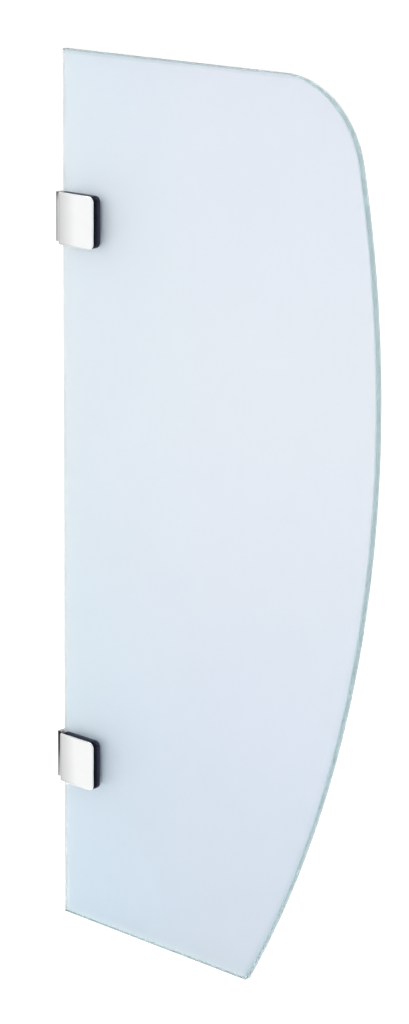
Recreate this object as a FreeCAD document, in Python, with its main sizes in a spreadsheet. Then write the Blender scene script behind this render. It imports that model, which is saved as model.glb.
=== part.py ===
import FreeCAD, Part
import math
import os
import re
import Sketcher
from FreeCAD import Rotation, Vector

# Wall-hung frosted glass partition, held at its wall edge by two clamps.
# Millimetres. The wall is the plane x = 0, +X points out from it and +Z is up.
# y = 0 is the middle of the glass, and -Y is the front.
# The origin is the centre of the lower clamp's seat on the wall.

DIMENSIONS = {
    # Glass sheet
    "panel_height": 900,
    "panel_width": 400,
    "glass_thickness": 8,
    "widest_height": 572,
    "upper_side_radius": 1195,
    "lower_side_radius": 1180,
    "top_corner_radius": 95,
    "bottom_corner_radius": 2,
    "edge_arris": 1.2,
    # Where the sheet and its clamps stand
    "wall_gap": 5,
    "lower_clamp_height": 176,
    "clamp_spacing": 560,
    # Clamp, as the rim of its front cover outlines it
    "clamp_inset": 5,
    "clamp_width": 47,
    "clamp_height": 52,
    "clamp_corner_radius": 6,
    "wall_corner_radius": 1.5,
    "clamp_edge_round": 1.2,
    # Jaws: the front one is set back under its cover, and the rear one more, so that it stays out of sight
    "jaw_thickness": 9,
    "front_setback": 0.2,
    "rear_setback": 2,
    "cover_thickness": 2,
    # Pads between the jaws and the glass, set back from the rims of their jaws
    "pad_setback": 0.2,
    "pad_thickness": 1,
    # Wall block: a foot on the wall and a tongue in the cut-out of the glass
    "gasket_thickness": 0.5,
    "foot_depth": 16,
    "tongue_nose": 7,
    "tongue_height": 23,
    "tongue_corner_radius": 3,
    "block_play": 0.4,
    # Plastic liner round the tongue
    "liner_thickness": 1,
    "liner_clearance": 0.1,
    # Holes for the wall screws, clear of the tongue and of the ends of the foot
    "wall_hole_diameter": 4.5,
    "wall_sink_diameter": 8,
    "wall_sink_margin": 2.5,
    # Clamp screws, whose heads clear the wall side of the rear jaw
    "screw_diameter": 5,
    "screw_spacing": 14,
    "screw_margin": 3.2,
    "screw_head_diameter": 9.6,
    "screw_head_rim": 0.4,
    "screw_head_recess": 0.2,
    "screw_tip_chamfer": 0.6,
    "screw_side_clearance": 0.3,
    "screw_seat_gap": 0.2,
    "thread_engagement": 6,
    "thread_clearance": 0.05,
    "tip_clearance": 0.6,
    "socket_width": 3,
    "socket_depth": 2.2,
}

FRONT = 1
REAR = -1
ORIGIN = (-1, 1)
START = 1
END = 2
CENTRE = 3
TOLERANCE = 1e-6
POINTS_ON_EDGE = 5

doc = FreeCAD.newDocument("glass_partition")
sheet = doc.addObject("Spreadsheet::Sheet", "dims")
for row, (alias, size) in enumerate(DIMENSIONS.items(), 1):
    sheet.set(f"A{row}", alias)
    sheet.set(f"B{row}", str(size))
    sheet.setAlias(f"B{row}", alias)
doc.recompute()


def linked(expression):
    """The expression with each sheet alias pointed at the sheet."""

    def point_at_sheet(word):
        name = word.group()
        return f"dims.{name}" if name in DIMENSIONS else name

    return re.sub(r"[a-z_]+", point_at_sheet, expression)


def number(expression):
    """What the expression comes to at the present sizes."""
    return float(sheet.evalExpression(linked(expression)))


# Sizes that several pieces share, worked out from the sheet
MID_TO_GLASS = "glass_thickness / 2"
MID_TO_JAW = "glass_thickness / 2 + pad_thickness"
MID_TO_COVER = "glass_thickness / 2 + pad_thickness + jaw_thickness"
FOOT_FACE = "wall_gap - liner_thickness - liner_clearance"
SCREW_X = "wall_gap + clamp_inset + rear_setback + screw_margin + screw_head_diameter / 2"
TONGUE_TIP = f"{SCREW_X} + tongue_nose"
WALL_HOLE_SPACING = "( tongue_height + wall_sink_diameter + 2 * wall_sink_margin )"
HALF_FOOT = f"( {WALL_HOLE_SPACING} + wall_sink_diameter ) / 2 + wall_sink_margin"
LINER_OUTSIDE = "liner_clearance + liner_thickness"
NOTCH_GROWTH = "2 * liner_clearance + liner_thickness"
SCREW_LENGTH = "jaw_thickness - screw_head_recess + 2 * pad_thickness + glass_thickness + thread_engagement"
SCREW_HOLE = "screw_diameter + 2 * screw_side_clearance"
SCREW_CONE = "( screw_head_diameter - screw_diameter ) / 2"
COUNTERSINK = f"{SCREW_CONE} + screw_head_rim + screw_head_recess + screw_seat_gap - screw_side_clearance"


def new_body(name, height="0"):
    """An empty body, raised to a height above the lower clamp."""
    body = doc.addObject("PartDesign::Body", name)
    body.Label = name
    body.setExpression("Placement.Base.z", linked(height))
    return body


def new_sketch(body, role, name):
    """An empty sketch on one of the body's own planes."""
    sketch = body.newObject("Sketcher::SketchObject", f"{body.Name}_{name}")
    plane = next(feature for feature in body.Origin.OriginFeatures if feature.Role == role)
    sketch.AttachmentSupport = [(plane, "")]
    sketch.MapMode = "FlatFace"
    return sketch


def dimension(sketch, kind, places, expression):
    """A sketch dimension bound to an expression."""
    index = sketch.addConstraint(Sketcher.Constraint(kind, *places, number(expression)))
    sketch.setExpression(f"Constraints[{index}]", linked(expression))


def tie(sketch, kind, *places):
    """A sketch relation that has no size."""
    sketch.addConstraint(Sketcher.Constraint(kind, *places))


def add_line(sketch, start, end):
    return sketch.addGeometry(Part.LineSegment(Vector(*start, 0), Vector(*end, 0)))


def add_arc(sketch, centre, start, end):
    """Arc that runs anticlockwise from start to end."""
    radius = math.dist(centre, start)
    first = math.atan2(start[1] - centre[1], start[0] - centre[0])
    last = math.atan2(end[1] - centre[1], end[0] - centre[0])
    circle = Part.Circle(Vector(*centre, 0), Vector(0, 0, 1), radius)
    return sketch.addGeometry(Part.ArcOfCircle(circle, first, last))


def stepped_outline(sketch, sides, rounds=None):
    """Closed outline of level and upright sides.

    Each side is ("x", expression) for an upright one or ("y", expression) for a level one, in order
    round the outline. rounds gives a radius to some corners, where corner n ends side n.
    """
    rounds = rounds or {}
    count = len(sides)
    values = [number(expression) for _, expression in sides]
    radii = [number(rounds[n]) if n in rounds else 0.0 for n in range(count)]

    def corner(n):
        first, second = n % count, (n + 1) % count
        return (values[first], values[second]) if sides[first][0] == "x" else (values[second], values[first])

    def heading(n):
        start, end = corner(n - 1), corner(n)
        length = math.dist(start, end)
        return ((end[0] - start[0]) / length, (end[1] - start[1]) / length)

    def shifted(point, direction, distance):
        return (point[0] + direction[0] * distance, point[1] + direction[1] * distance)

    lines = []
    for n, (axis, _) in enumerate(sides):
        start = shifted(corner(n - 1), heading(n), radii[n - 1])
        end = shifted(corner(n), heading(n), -radii[n])
        line = add_line(sketch, start, end)
        tie(sketch, "Vertical" if axis == "x" else "Horizontal", line)
        lines.append(line)
    for n in range(count):
        here, following = lines[n], lines[(n + 1) % count]
        if n not in rounds:
            tie(sketch, "Coincident", here, END, following, START)
            continue
        ahead = heading((n + 1) % count)
        first = shifted(corner(n), heading(n), -radii[n])
        last = shifted(corner(n), ahead, radii[n])
        centre = shifted(first, ahead, radii[n])
        turns_left = heading(n)[0] * ahead[1] - heading(n)[1] * ahead[0] > 0
        arc = add_arc(sketch, centre, first, last) if turns_left else add_arc(sketch, centre, last, first)
        near, far = (START, END) if turns_left else (END, START)
        tie(sketch, "Tangent", here, END, arc, near)
        tie(sketch, "Tangent", arc, far, following, START)
        dimension(sketch, "Radius", (arc,), rounds[n])
    for line, (axis, expression) in zip(lines, sides):
        kind = "DistanceX" if axis == "x" else "DistanceY"
        dimension(sketch, kind, (*ORIGIN, line, START), expression)


def circle_pair(sketch, across, spacing, diameter):
    """Two circles one above the other, level about the sketch's X axis."""
    for sign in ("", "-"):
        centre = Vector(number(across), number(f"{sign}{spacing} / 2"), 0)
        circle = sketch.addGeometry(Part.Circle(centre, Vector(0, 0, 1), number(diameter) / 2))
        dimension(sketch, "Diameter", (circle,), diameter)
        dimension(sketch, "DistanceX", (*ORIGIN, circle, CENTRE), across)
        dimension(sketch, "DistanceY", (*ORIGIN, circle, CENTRE), f"{sign}{spacing} / 2")


def pad_outline(body, sketch, length):
    pad = body.newObject("PartDesign::Pad", f"{sketch.Name}_pad")
    pad.Profile = sketch
    pad.setExpression("Length", linked(length))
    return pad


def plate_from(body, sketch, side, start, thickness):
    """Plate on one side of the glass, from a distance off its middle outwards."""
    sketch.setExpression("AttachmentOffset.Base.z", linked(f"{side} * ( {start} )"))
    pad = pad_outline(body, sketch, thickness)
    pad.Reversed = side == REAR
    return pad


def cut_through(body, sketch, name):
    """Cut the sketch through the whole body, both ways."""
    pocket = body.newObject("PartDesign::Pocket", f"{body.Name}_{name}")
    pocket.Profile = sketch
    pocket.Type = "ThroughAll"
    pocket.SideType = "Symmetric"
    return pocket


def removed(feature, base):
    """Volume that a cut has taken from the feature before it."""
    doc.recompute()
    return base.Shape.Volume - feature.Shape.Volume


def edges_in_plane(feature, axis, place):
    """Names of the feature's edges that lie in the plane where the axis has that value."""
    doc.recompute()
    names = []
    for index, edge in enumerate(feature.Shape.Edges, 1):
        points = edge.discretize(POINTS_ON_EDGE)
        if all(abs(getattr(point, axis) - place) < TOLERANCE for point in points):
            names.append(f"Edge{index}")
    return names


def dress_edges(body, kind, base, edges, size_name, expression):
    """Fillet or chamfer on some edges of a feature."""
    feature = body.newObject(f"PartDesign::{kind}", f"{body.Name}_{kind.lower()}")
    feature.Base = (base, edges)
    feature.setExpression(size_name, linked(expression))
    return feature


def circle_edges(feature, axis, place, diameter):
    """The edges in a plane that are circles of that diameter."""
    names = edges_in_plane(feature, axis, place)
    chosen = []
    for name in names:
        curve = feature.Shape.getElement(name).Curve
        if isinstance(curve, Part.Circle) and abs(curve.Radius - number(diameter) / 2) < TOLERANCE:
            chosen.append(name)
    return chosen


def glass_outline(sketch):
    """Straight wall side and top, round top corner, a side that bulges in two arcs, and a level bottom."""
    left = number("wall_gap")
    bottom = number("-lower_clamp_height")
    top = bottom + number("panel_height")
    widest = (left + number("panel_width"), bottom + number("widest_height"))

    # A corner circle lies inside the side's circle and touches it and a level edge
    def side_and_corner(side, corner, level):
        centre = (widest[0] - side, widest[1])
        reach = side - corner
        across = centre[0] + math.sqrt(reach**2 - (level - centre[1]) ** 2)
        touch = (
            centre[0] + (across - centre[0]) * side / reach,
            centre[1] + (level - centre[1]) * side / reach,
        )
        return centre, (across, level), touch

    upper_radius = number("top_corner_radius")
    lower_radius = number("bottom_corner_radius")
    upper_side, upper_corner, upper_touch = side_and_corner(
        number("upper_side_radius"), upper_radius, top - upper_radius
    )
    lower_side, lower_corner, lower_touch = side_and_corner(
        number("lower_side_radius"), lower_radius, bottom + lower_radius
    )
    wall_edge = add_line(sketch, (left, bottom), (left, top))
    top_edge = add_line(sketch, (left, top), (upper_corner[0], top))
    top_round = add_arc(sketch, upper_corner, upper_touch, (upper_corner[0], top))
    upper_arc = add_arc(sketch, upper_side, widest, upper_touch)
    lower_arc = add_arc(sketch, lower_side, lower_touch, widest)
    low_round = add_arc(sketch, lower_corner, (lower_corner[0], bottom), lower_touch)
    bottom_edge = add_line(sketch, (lower_corner[0], bottom), (left, bottom))

    tie(sketch, "Vertical", wall_edge)
    tie(sketch, "Horizontal", top_edge)
    tie(sketch, "Horizontal", bottom_edge)
    tie(sketch, "Coincident", wall_edge, END, top_edge, START)
    tie(sketch, "Coincident", bottom_edge, END, wall_edge, START)
    tie(sketch, "Tangent", top_edge, END, top_round, END)
    tie(sketch, "Tangent", top_round, START, upper_arc, END)
    tie(sketch, "Tangent", upper_arc, START, lower_arc, END)
    tie(sketch, "Tangent", lower_arc, START, low_round, END)
    tie(sketch, "Tangent", low_round, START, bottom_edge, START)
    dimension(sketch, "DistanceX", (*ORIGIN, wall_edge, START), "wall_gap")
    dimension(sketch, "DistanceY", (*ORIGIN, wall_edge, START), "-lower_clamp_height")
    dimension(sketch, "DistanceY", (wall_edge, START, wall_edge, END), "panel_height")
    dimension(sketch, "Radius", (top_round,), "top_corner_radius")
    dimension(sketch, "Radius", (low_round,), "bottom_corner_radius")
    dimension(sketch, "Radius", (upper_arc,), "upper_side_radius")
    dimension(sketch, "Radius", (lower_arc,), "lower_side_radius")
    dimension(sketch, "DistanceX", (wall_edge, START, upper_arc, START), "panel_width")
    dimension(sketch, "DistanceY", (wall_edge, START, upper_arc, START), "widest_height")
    tie(sketch, "Horizontal", upper_arc, START, upper_arc, CENTRE)


def notch_outline(sketch):
    """Cut-out round the tongue, open towards the wall."""
    half = f"tongue_height / 2 + {NOTCH_GROWTH}"
    rounding = f"tongue_corner_radius + {NOTCH_GROWTH}"
    sides = [("x", "0"), ("y", f"-( {half} )"), ("x", f"{TONGUE_TIP} + {NOTCH_GROWTH}"), ("y", half)]
    stepped_outline(sketch, sides, {1: rounding, 2: rounding})


def clamp_outline(sketch, setback):
    """The clamp's square, its sides drawn in by a setback, with rounder corners away from the wall."""
    left = f"wall_gap + clamp_inset + {setback}"
    right = f"wall_gap + clamp_inset + clamp_width - ( {setback} )"
    half = f"clamp_height / 2 - ( {setback} )"
    sides = [("x", left), ("y", f"-( {half} )"), ("x", right), ("y", half)]
    wall, outer = "wall_corner_radius", "clamp_corner_radius"
    stepped_outline(sketch, sides, dict(enumerate([wall, outer, outer, wall])))


def glass_panel():
    """The frosted sheet, with a cut-out for each clamp and its sharp edges taken off."""
    body = new_body("glass_panel")
    outline = new_sketch(body, "XZ_Plane", "outline")
    glass_outline(outline)
    sheet_pad = pad_outline(body, outline, "glass_thickness")
    sheet_pad.SideType = "Symmetric"
    notch = new_sketch(body, "XZ_Plane", "notch")
    notch_outline(notch)
    cut = cut_through(body, notch, "notch_cut")
    doc.recompute()
    pattern = body.newObject("PartDesign::LinearPattern", "glass_panel_notches")
    pattern.Originals = [cut]
    pattern.Direction = (notch, ["V_Axis"])
    pattern.Occurrences = 2
    pattern.setExpression("Length", linked("clamp_spacing"))
    body.Tip = pattern
    half = number(MID_TO_GLASS)
    edges = edges_in_plane(pattern, "y", half) + edges_in_plane(pattern, "y", -half)
    dress_edges(body, "Chamfer", pattern, edges, "Size", "edge_arris")
    return body


def soft_plate(name, height, side, start, thickness, setback):
    """Plate of the clamp's outline, with a soft outer edge."""
    body = new_body(name, height)
    outline = new_sketch(body, "XZ_Plane", "outline")
    clamp_outline(outline, setback)
    plate = plate_from(body, outline, side, start, thickness)
    rim = edges_in_plane(plate, "y", -side * number(f"{start} + {thickness}"))
    dress_edges(body, "Fillet", plate, rim, "Radius", "clamp_edge_round")
    return body


def front_cover(name, height):
    """Cover plate over the front jaw."""
    return soft_plate(name, height, FRONT, MID_TO_COVER, "cover_thickness", "0")


def front_jaw(name, height):
    """Front jaw, with two blind threaded holes in its inner face."""
    body = new_body(name, height)
    outline = new_sketch(body, "XZ_Plane", "outline")
    clamp_outline(outline, "front_setback")
    plate = plate_from(body, outline, FRONT, MID_TO_JAW, "jaw_thickness")
    holes = new_sketch(body, "XZ_Plane", "threads")
    circle_pair(holes, SCREW_X, "screw_spacing", "screw_diameter + 2 * thread_clearance")
    holes.setExpression("AttachmentOffset.Base.z", linked(MID_TO_JAW))
    pocket = body.newObject("PartDesign::Pocket", f"{name}_threads_cut")
    pocket.Profile = holes
    pocket.Reversed = True
    pocket.setExpression("Length", linked("thread_engagement + tip_clearance"))
    if removed(pocket, plate) <= 0:
        raise RuntimeError(f"{name}: the threaded holes cut nothing")
    return body


def rear_jaw(name, height):
    """Rear jaw, with a countersunk hole for each clamp screw."""
    body = soft_plate(name, height, REAR, MID_TO_JAW, "jaw_thickness", "rear_setback")
    holes = new_sketch(body, "XZ_Plane", "holes")
    circle_pair(holes, SCREW_X, "screw_spacing", SCREW_HOLE)
    cut = cut_through(body, holes, "holes_cut")
    rims = circle_edges(cut, "y", number(MID_TO_COVER), SCREW_HOLE)
    dress_edges(body, "Chamfer", cut, rims, "Size", COUNTERSINK)
    return body


def grip_pad(name, height, side, jaw_setback):
    """Soft sheet between a jaw and the glass, cut out round the tongue."""
    body = new_body(name, height)
    outline = new_sketch(body, "XZ_Plane", "outline")
    clamp_outline(outline, f"{jaw_setback} + pad_setback")
    plate_from(body, outline, side, MID_TO_GLASS, "pad_thickness")
    notch = new_sketch(body, "XZ_Plane", "notch")
    notch_outline(notch)
    cut_through(body, notch, "notch_cut")
    return body


def wall_block(name, height):
    """Metal foot with a tongue: it carries both jaws and takes the wall screws."""
    body = new_body(name, height)
    foot = new_sketch(body, "XZ_Plane", "foot")
    wall_side = ("x", "gasket_thickness")
    stepped_outline(foot, [wall_side, ("y", f"-( {HALF_FOOT} )"), ("x", FOOT_FACE), ("y", HALF_FOOT)])
    foot_pad = pad_outline(body, foot, "foot_depth")
    foot_pad.SideType = "Symmetric"
    tongue = new_sketch(body, "XZ_Plane", "tongue")
    sides = [wall_side, ("y", "-tongue_height / 2"), ("x", TONGUE_TIP), ("y", "tongue_height / 2")]
    stepped_outline(tongue, sides, {1: "tongue_corner_radius", 2: "tongue_corner_radius"})
    plate_from(body, tongue, REAR, f"block_play - ( {MID_TO_JAW} )", f"2 * ( {MID_TO_JAW} ) - block_play")
    screw_holes = new_sketch(body, "XZ_Plane", "screw_holes")
    circle_pair(screw_holes, SCREW_X, "screw_spacing", SCREW_HOLE)
    cut_through(body, screw_holes, "screw_holes_cut")
    wall_holes = new_sketch(body, "YZ_Plane", "wall_holes")
    circle_pair(wall_holes, "0", WALL_HOLE_SPACING, "wall_hole_diameter")
    wall_cut = cut_through(body, wall_holes, "wall_holes_cut")
    rims = circle_edges(wall_cut, "x", number(FOOT_FACE), "wall_hole_diameter")
    dress_edges(body, "Chamfer", wall_cut, rims, "Size", "( wall_sink_diameter - wall_hole_diameter ) / 2")
    return body


def wall_gasket(name, height):
    """Rubber sheet between the foot and the wall."""
    body = new_body(name, height)
    outline = new_sketch(body, "YZ_Plane", "outline")
    half = "foot_depth / 2"
    stepped_outline(outline, [("x", f"-{half}"), ("y", f"-( {HALF_FOOT} )"), ("x", half), ("y", HALF_FOOT)])
    circle_pair(outline, "0", WALL_HOLE_SPACING, "wall_hole_diameter")
    pad_outline(body, outline, "gasket_thickness")
    return body


def notch_liner(name, height):
    """Plastic liner that keeps the metal block off the glass."""
    body = new_body(name, height)
    outline = new_sketch(body, "XZ_Plane", "outline")
    inside = "tongue_height / 2 + liner_clearance"
    outside = f"tongue_height / 2 + {LINER_OUTSIDE}"
    shoulder = f"{FOOT_FACE} + liner_thickness"
    inside_tip = f"{TONGUE_TIP} + liner_clearance"
    outside_tip = f"{TONGUE_TIP} + {LINER_OUTSIDE}"
    sides = [
        ("x", FOOT_FACE),
        ("y", f"-( {HALF_FOOT} )"),
        ("x", shoulder),
        ("y", f"-( {outside} )"),
        ("x", outside_tip),
        ("y", outside),
        ("x", shoulder),
        ("y", HALF_FOOT),
        ("x", FOOT_FACE),
        ("y", inside),
        ("x", inside_tip),
        ("y", f"-( {inside} )"),
    ]
    outer_round = f"tongue_corner_radius + {LINER_OUTSIDE}"
    inner_round = "tongue_corner_radius + liner_clearance"
    stepped_outline(outline, sides, {3: outer_round, 4: outer_round, 9: inner_round, 10: inner_round})
    liner = pad_outline(body, outline, "glass_thickness")
    liner.SideType = "Symmetric"
    return body


def screw_profile(sketch):
    """Half section of a countersunk screw, with its axis on the sketch's Y axis and its head on top."""
    radius = "screw_diameter / 2"
    head = "screw_head_diameter / 2"
    cone_end = f"screw_head_rim + {SCREW_CONE}"
    corners = [
        ("0", "0"),
        (head, "0"),
        (head, "-screw_head_rim"),
        (radius, f"-( {cone_end} )"),
        (radius, f"screw_tip_chamfer - ( {SCREW_LENGTH} )"),
        (f"{radius} - screw_tip_chamfer", f"-( {SCREW_LENGTH} )"),
        ("0", f"-( {SCREW_LENGTH} )"),
    ]
    points = [(number(across), number(up)) for across, up in corners]
    lines = [add_line(sketch, start, end) for start, end in zip(points, points[1:] + points[:1])]
    for line, following in zip(lines, lines[1:] + lines[:1]):
        tie(sketch, "Coincident", line, END, following, START)
    for line, (across, up) in zip(lines, corners):
        dimension(sketch, "DistanceX", (*ORIGIN, line, START), across)
        dimension(sketch, "DistanceY", (*ORIGIN, line, START), up)


def hexagon(sketch, width):
    """Regular hexagon about the origin, with that width across its flats."""
    reach = number(width) / math.sqrt(3)
    points = [(reach * math.cos(math.pi * n / 3), reach * math.sin(math.pi * n / 3)) for n in range(6)]
    lines = [add_line(sketch, start, end) for start, end in zip(points, points[1:] + points[:1])]
    circle = sketch.addGeometry(Part.Circle(Vector(0, 0, 0), Vector(0, 0, 1), reach), True)
    tie(sketch, "Coincident", circle, CENTRE, *ORIGIN)
    for line, following in zip(lines, lines[1:] + lines[:1]):
        tie(sketch, "Coincident", line, END, following, START)
        tie(sketch, "PointOnObject", line, START, circle)
    for line in lines[1:]:
        tie(sketch, "Equal", lines[0], line)
    tie(sketch, "Horizontal", lines[1])
    dimension(sketch, "Diameter", (circle,), f"2 * {width} / sqrt(3)")


def clamp_screw(name, height):
    """Countersunk socket screw, which enters from behind and ends in the front jaw."""
    body = new_body(name, height)
    profile = new_sketch(body, "XZ_Plane", "profile")
    screw_profile(profile)
    turned = body.newObject("PartDesign::Revolution", f"{name}_turned")
    turned.Profile = profile
    turned.ReferenceAxis = (profile, ["V_Axis"])
    turned.Angle = 360
    socket = new_sketch(body, "XY_Plane", "socket")
    hexagon(socket, "socket_width")
    pocket = body.newObject("PartDesign::Pocket", f"{name}_socket_cut")
    pocket.Profile = socket
    pocket.setExpression("Length", linked("socket_depth"))
    if removed(pocket, turned) <= 0:
        raise RuntimeError(f"{name}: the socket cuts nothing")
    # The head faces the rear
    body.Placement.Rotation = Rotation(Vector(1, 0, 0), -90)
    body.setExpression("Placement.Base.x", linked(SCREW_X))
    body.setExpression("Placement.Base.y", linked(f"{MID_TO_COVER} - screw_head_recess"))
    return body


def clamp(prefix, height):
    """All pieces of one clamp."""
    return [
        wall_gasket(f"{prefix}_wall_gasket", height),
        wall_block(f"{prefix}_wall_block", height),
        notch_liner(f"{prefix}_notch_liner", height),
        grip_pad(f"{prefix}_rear_pad", height, REAR, "rear_setback"),
        rear_jaw(f"{prefix}_rear_jaw", height),
        grip_pad(f"{prefix}_front_pad", height, FRONT, "front_setback"),
        front_jaw(f"{prefix}_front_jaw", height),
        front_cover(f"{prefix}_front_cover", height),
        clamp_screw(f"{prefix}_clamp_screw_top", f"{height} + screw_spacing / 2"),
        clamp_screw(f"{prefix}_clamp_screw_bottom", f"{height} - screw_spacing / 2"),
    ]


pieces = [glass_panel()]
pieces += clamp("lower", "0")
pieces += clamp("upper", "clamp_spacing")
doc.recompute()

for item in doc.Objects:
    if {"Invalid", "Error"} & set(item.State):
        raise RuntimeError(f"{item.Label} failed: {item.State}")
for piece in pieces:
    if piece.Shape.isNull() or not piece.Shape.isValid() or len(piece.Shape.Solids) != 1:
        raise RuntimeError(f"{piece.Label} is not one sound solid")

os.makedirs("parts", exist_ok=True)
for piece in pieces:
    piece.Shape.exportStep(f"parts/{piece.Label}.step")
    box = piece.Shape.BoundBox
    print(f"{piece.Label}: {piece.Shape.Volume:.1f} mm3, x {box.XMin:.2f}..{box.XMax:.2f},"
          f" y {box.YMin:.2f}..{box.YMax:.2f}, z {box.ZMin:.2f}..{box.ZMax:.2f}")
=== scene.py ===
import math

import bmesh
import bpy
import numpy as np
from mathutils import Matrix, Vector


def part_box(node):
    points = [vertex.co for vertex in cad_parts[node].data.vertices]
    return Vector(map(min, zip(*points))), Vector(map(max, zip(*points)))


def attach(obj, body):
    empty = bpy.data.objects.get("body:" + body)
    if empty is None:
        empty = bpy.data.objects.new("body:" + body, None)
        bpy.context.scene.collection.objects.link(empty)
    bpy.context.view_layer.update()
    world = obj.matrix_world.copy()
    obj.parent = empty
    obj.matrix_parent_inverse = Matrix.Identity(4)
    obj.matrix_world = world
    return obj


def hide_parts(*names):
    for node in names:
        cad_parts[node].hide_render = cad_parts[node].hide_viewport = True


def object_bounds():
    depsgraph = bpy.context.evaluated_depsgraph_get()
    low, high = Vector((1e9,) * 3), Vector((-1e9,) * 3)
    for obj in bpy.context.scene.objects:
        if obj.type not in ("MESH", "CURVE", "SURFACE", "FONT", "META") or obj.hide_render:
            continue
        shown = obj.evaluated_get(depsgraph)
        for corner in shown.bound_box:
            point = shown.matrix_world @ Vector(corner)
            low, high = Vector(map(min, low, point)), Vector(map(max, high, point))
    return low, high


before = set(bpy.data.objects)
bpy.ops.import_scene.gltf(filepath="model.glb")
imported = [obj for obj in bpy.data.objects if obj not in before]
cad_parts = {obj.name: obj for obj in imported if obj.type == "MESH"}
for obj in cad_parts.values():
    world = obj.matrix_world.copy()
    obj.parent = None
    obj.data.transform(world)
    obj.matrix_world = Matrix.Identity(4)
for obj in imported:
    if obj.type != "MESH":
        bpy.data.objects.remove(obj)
cad_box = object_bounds()

# A wall-hung sheet of frosted glass in two screw clamps, in metres.
# x = 0 is the wall, -Y is the front of the sheet and z = 0 is the middle of the lower clamp.

MM = 0.001
SIDES = ("lower", "upper")
CLAMP_HEIGHTS = {side: sum(corner[2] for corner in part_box(f"{side}_front_jaw")) / 2 for side in SIDES}

# Outline of the sheet, beyond what its box gives
WIDEST_HEIGHT = 572 * MM
UPPER_SIDE_RADIUS = 1195 * MM
LOWER_SIDE_RADIUS = 1180 * MM
TOP_CORNER_RADIUS = 95 * MM
BOTTOM_CORNER_RADIUS = 2 * MM
ARRIS = 1.2 * MM
ARRIS_STEPS = 4
CLEAR_RIM = 0.1 * MM
BOTTOM_RIM = 1.3 * MM
BOTTOM_RIM_REACH = 15 * MM

# How far the painted light and shade in the glass's colour reach in from its edges
WALL_MARGIN = 7 * MM
TOP_MARGIN = 5 * MM
SIDE_MARGIN = 8 * MM
WALL_TINT_AND_SHADE_REACH = 200 * MM
TINT_AND_SHADE_ABOVE_TOP = 90 * MM
EDGE_PAINTED_LIGHT_REACH = 50 * MM
BOTTOM_LINE_REACH = 3 * MM

# How far noise and place shift a tint, with its painted light and shade, along its stops
FROST_DRIFT = 0.16
EDGE_DRIFT = 0.04
EDGE_PALER_INWARDS = 0.1
EDGE_DARKER_BELOW = -0.35
COAT_DRIFT = 0.2

# Share of the thickness of the glass by which the tints and painted shade of its edge run past each face
EDGE_SPARE = 0.2

# Roughness of the frosted faces, and how much it drops at the wall edge
FROST_ROUGHNESS = (0.52, 0.6)
WALL_EDGE_DROP = -0.48

# Cut-out in the sheet and the liner in it
TONGUE_HEIGHT = 23 * MM
TONGUE_CORNER_RADIUS = 3 * MM
LINER_CLEARANCE = 0.1 * MM
LINER_THICKNESS = 1 * MM
LINER_EDGE = 0.1 * MM

# Covers, jaws and pads
OUTER_CORNER_RADIUS = 6 * MM
WALL_CORNER_RADIUS = 1.5 * MM
COVER_EDGE_ROUND = 1.0 * MM
COVER_CROWN = 0.75 * MM
CROWN_SHARES = (0.85, 0.15)
PAD_EDGE_ROUND = 0.25 * MM
PAD_GAP = 0.06 * MM
JAW_EDGE = 0.35 * MM
SHADOW_GAP = 1.4 * MM
SHADOW_DEPTH = 1.2 * MM
BLOCK_EDGE = 0.4 * MM
# Depths behind a wall block's front over which its painted shade fades out
BLOCK_PAINTED_SHADE_DEPTHS = (0.1 * MM, 0.5 * MM)
GASKET_EDGE = 0.3 * MM

# Clamp screws
SCREW_RADIUS = 2.5 * MM
THREAD_PITCH = 0.8 * MM
THREAD_DEPTH = 0.42 * MM
SCREW_TIP_CHAMFER = 0.6 * MM
SCREW_HEAD_RADIUS = 4.8 * MM
SCREW_HEAD_RIM = 0.4 * MM
SCREW_HEAD_CHAMFER = SCREW_HEAD_RIM / 3
SOCKET_WIDTH = 3 * MM
SOCKET_DEPTH = 2.2 * MM
SOCKET_LEAD_IN = 0.25 * MM

# Steps along an arc, round a soft edge and round a screw
ARC_STEPS = 12
LONG_ARC_STEPS = 72
EDGE_STEPS = 6
SCREW_STEPS = 48
ROWS_PER_TURN = 8

# Rings on a cover's face, and the longest step along its outline
FACE_RINGS = 14
COVER_STEP = 2.5 * MM

# Points nearer than this are one, faces within the flat angle are one, and edges past the sharp angle stay
# crisp
SAME_POINT = 0.001 * MM
FLAT_ANGLE = math.radians(0.2)
SHARP_ANGLE = math.radians(35)
EASED_STEPS = 2

# Noise mostly lies between these
NOISE_MIDDLE = (0.3, 0.7)

# Camera, as fitted to the straight edges of the sheet
CAMERA_PLACE = (1.9948, -2.0090, 1.0333)
CAMERA_TURN = math.radians(41.891)
CAMERA_DOWN = math.radians(15.328)
CAMERA_ROLL = math.radians(0.595)
LENS_MM = 101.78
SENSOR_MM = 36

# Studio
FLOOR_DROP = 0.45
FLOOR_REACH = 30.0
FLOOR_POINTS = 9
FLOOR_LIFT = 0.4
WORLD_LIGHT = 0.8
KEY_PLACE = (-1.6, -2.6, 2.6)
KEY_AIM = (0.2, 0.0, 0.3)
KEY_SIZE = 2.2
KEY_WATTS = 60

# Ring of glowing cards: its radius, the heights of its rims, and its glow at angles round it, in degrees
CARD_RADIUS = 1.0
CARD_HEIGHTS = (-0.62, 1.2)
CARD_TONES = [
    (0, 0.85), (45, 0.66), (62, 0.95), (90, 0.70), (135, 0.66), (165, 1.0),
    (192, 1.0), (203, 0.60), (218.6, 0.60), (227.1, 1.0), (245, 1.0), (262, 0.62),
    (274, 1.0), (290, 1.0), (308, 0.62), (319, 1.0), (340, 1.0), (360, 0.85),
]


def arc(centre, radius, first, last, steps):
    """Points at even angles round a circle, from the first angle to the last."""
    turn = np.linspace(first, last, steps)
    return np.asarray(centre) + radius * np.stack([np.cos(turn), np.sin(turn)], axis=-1)


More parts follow.
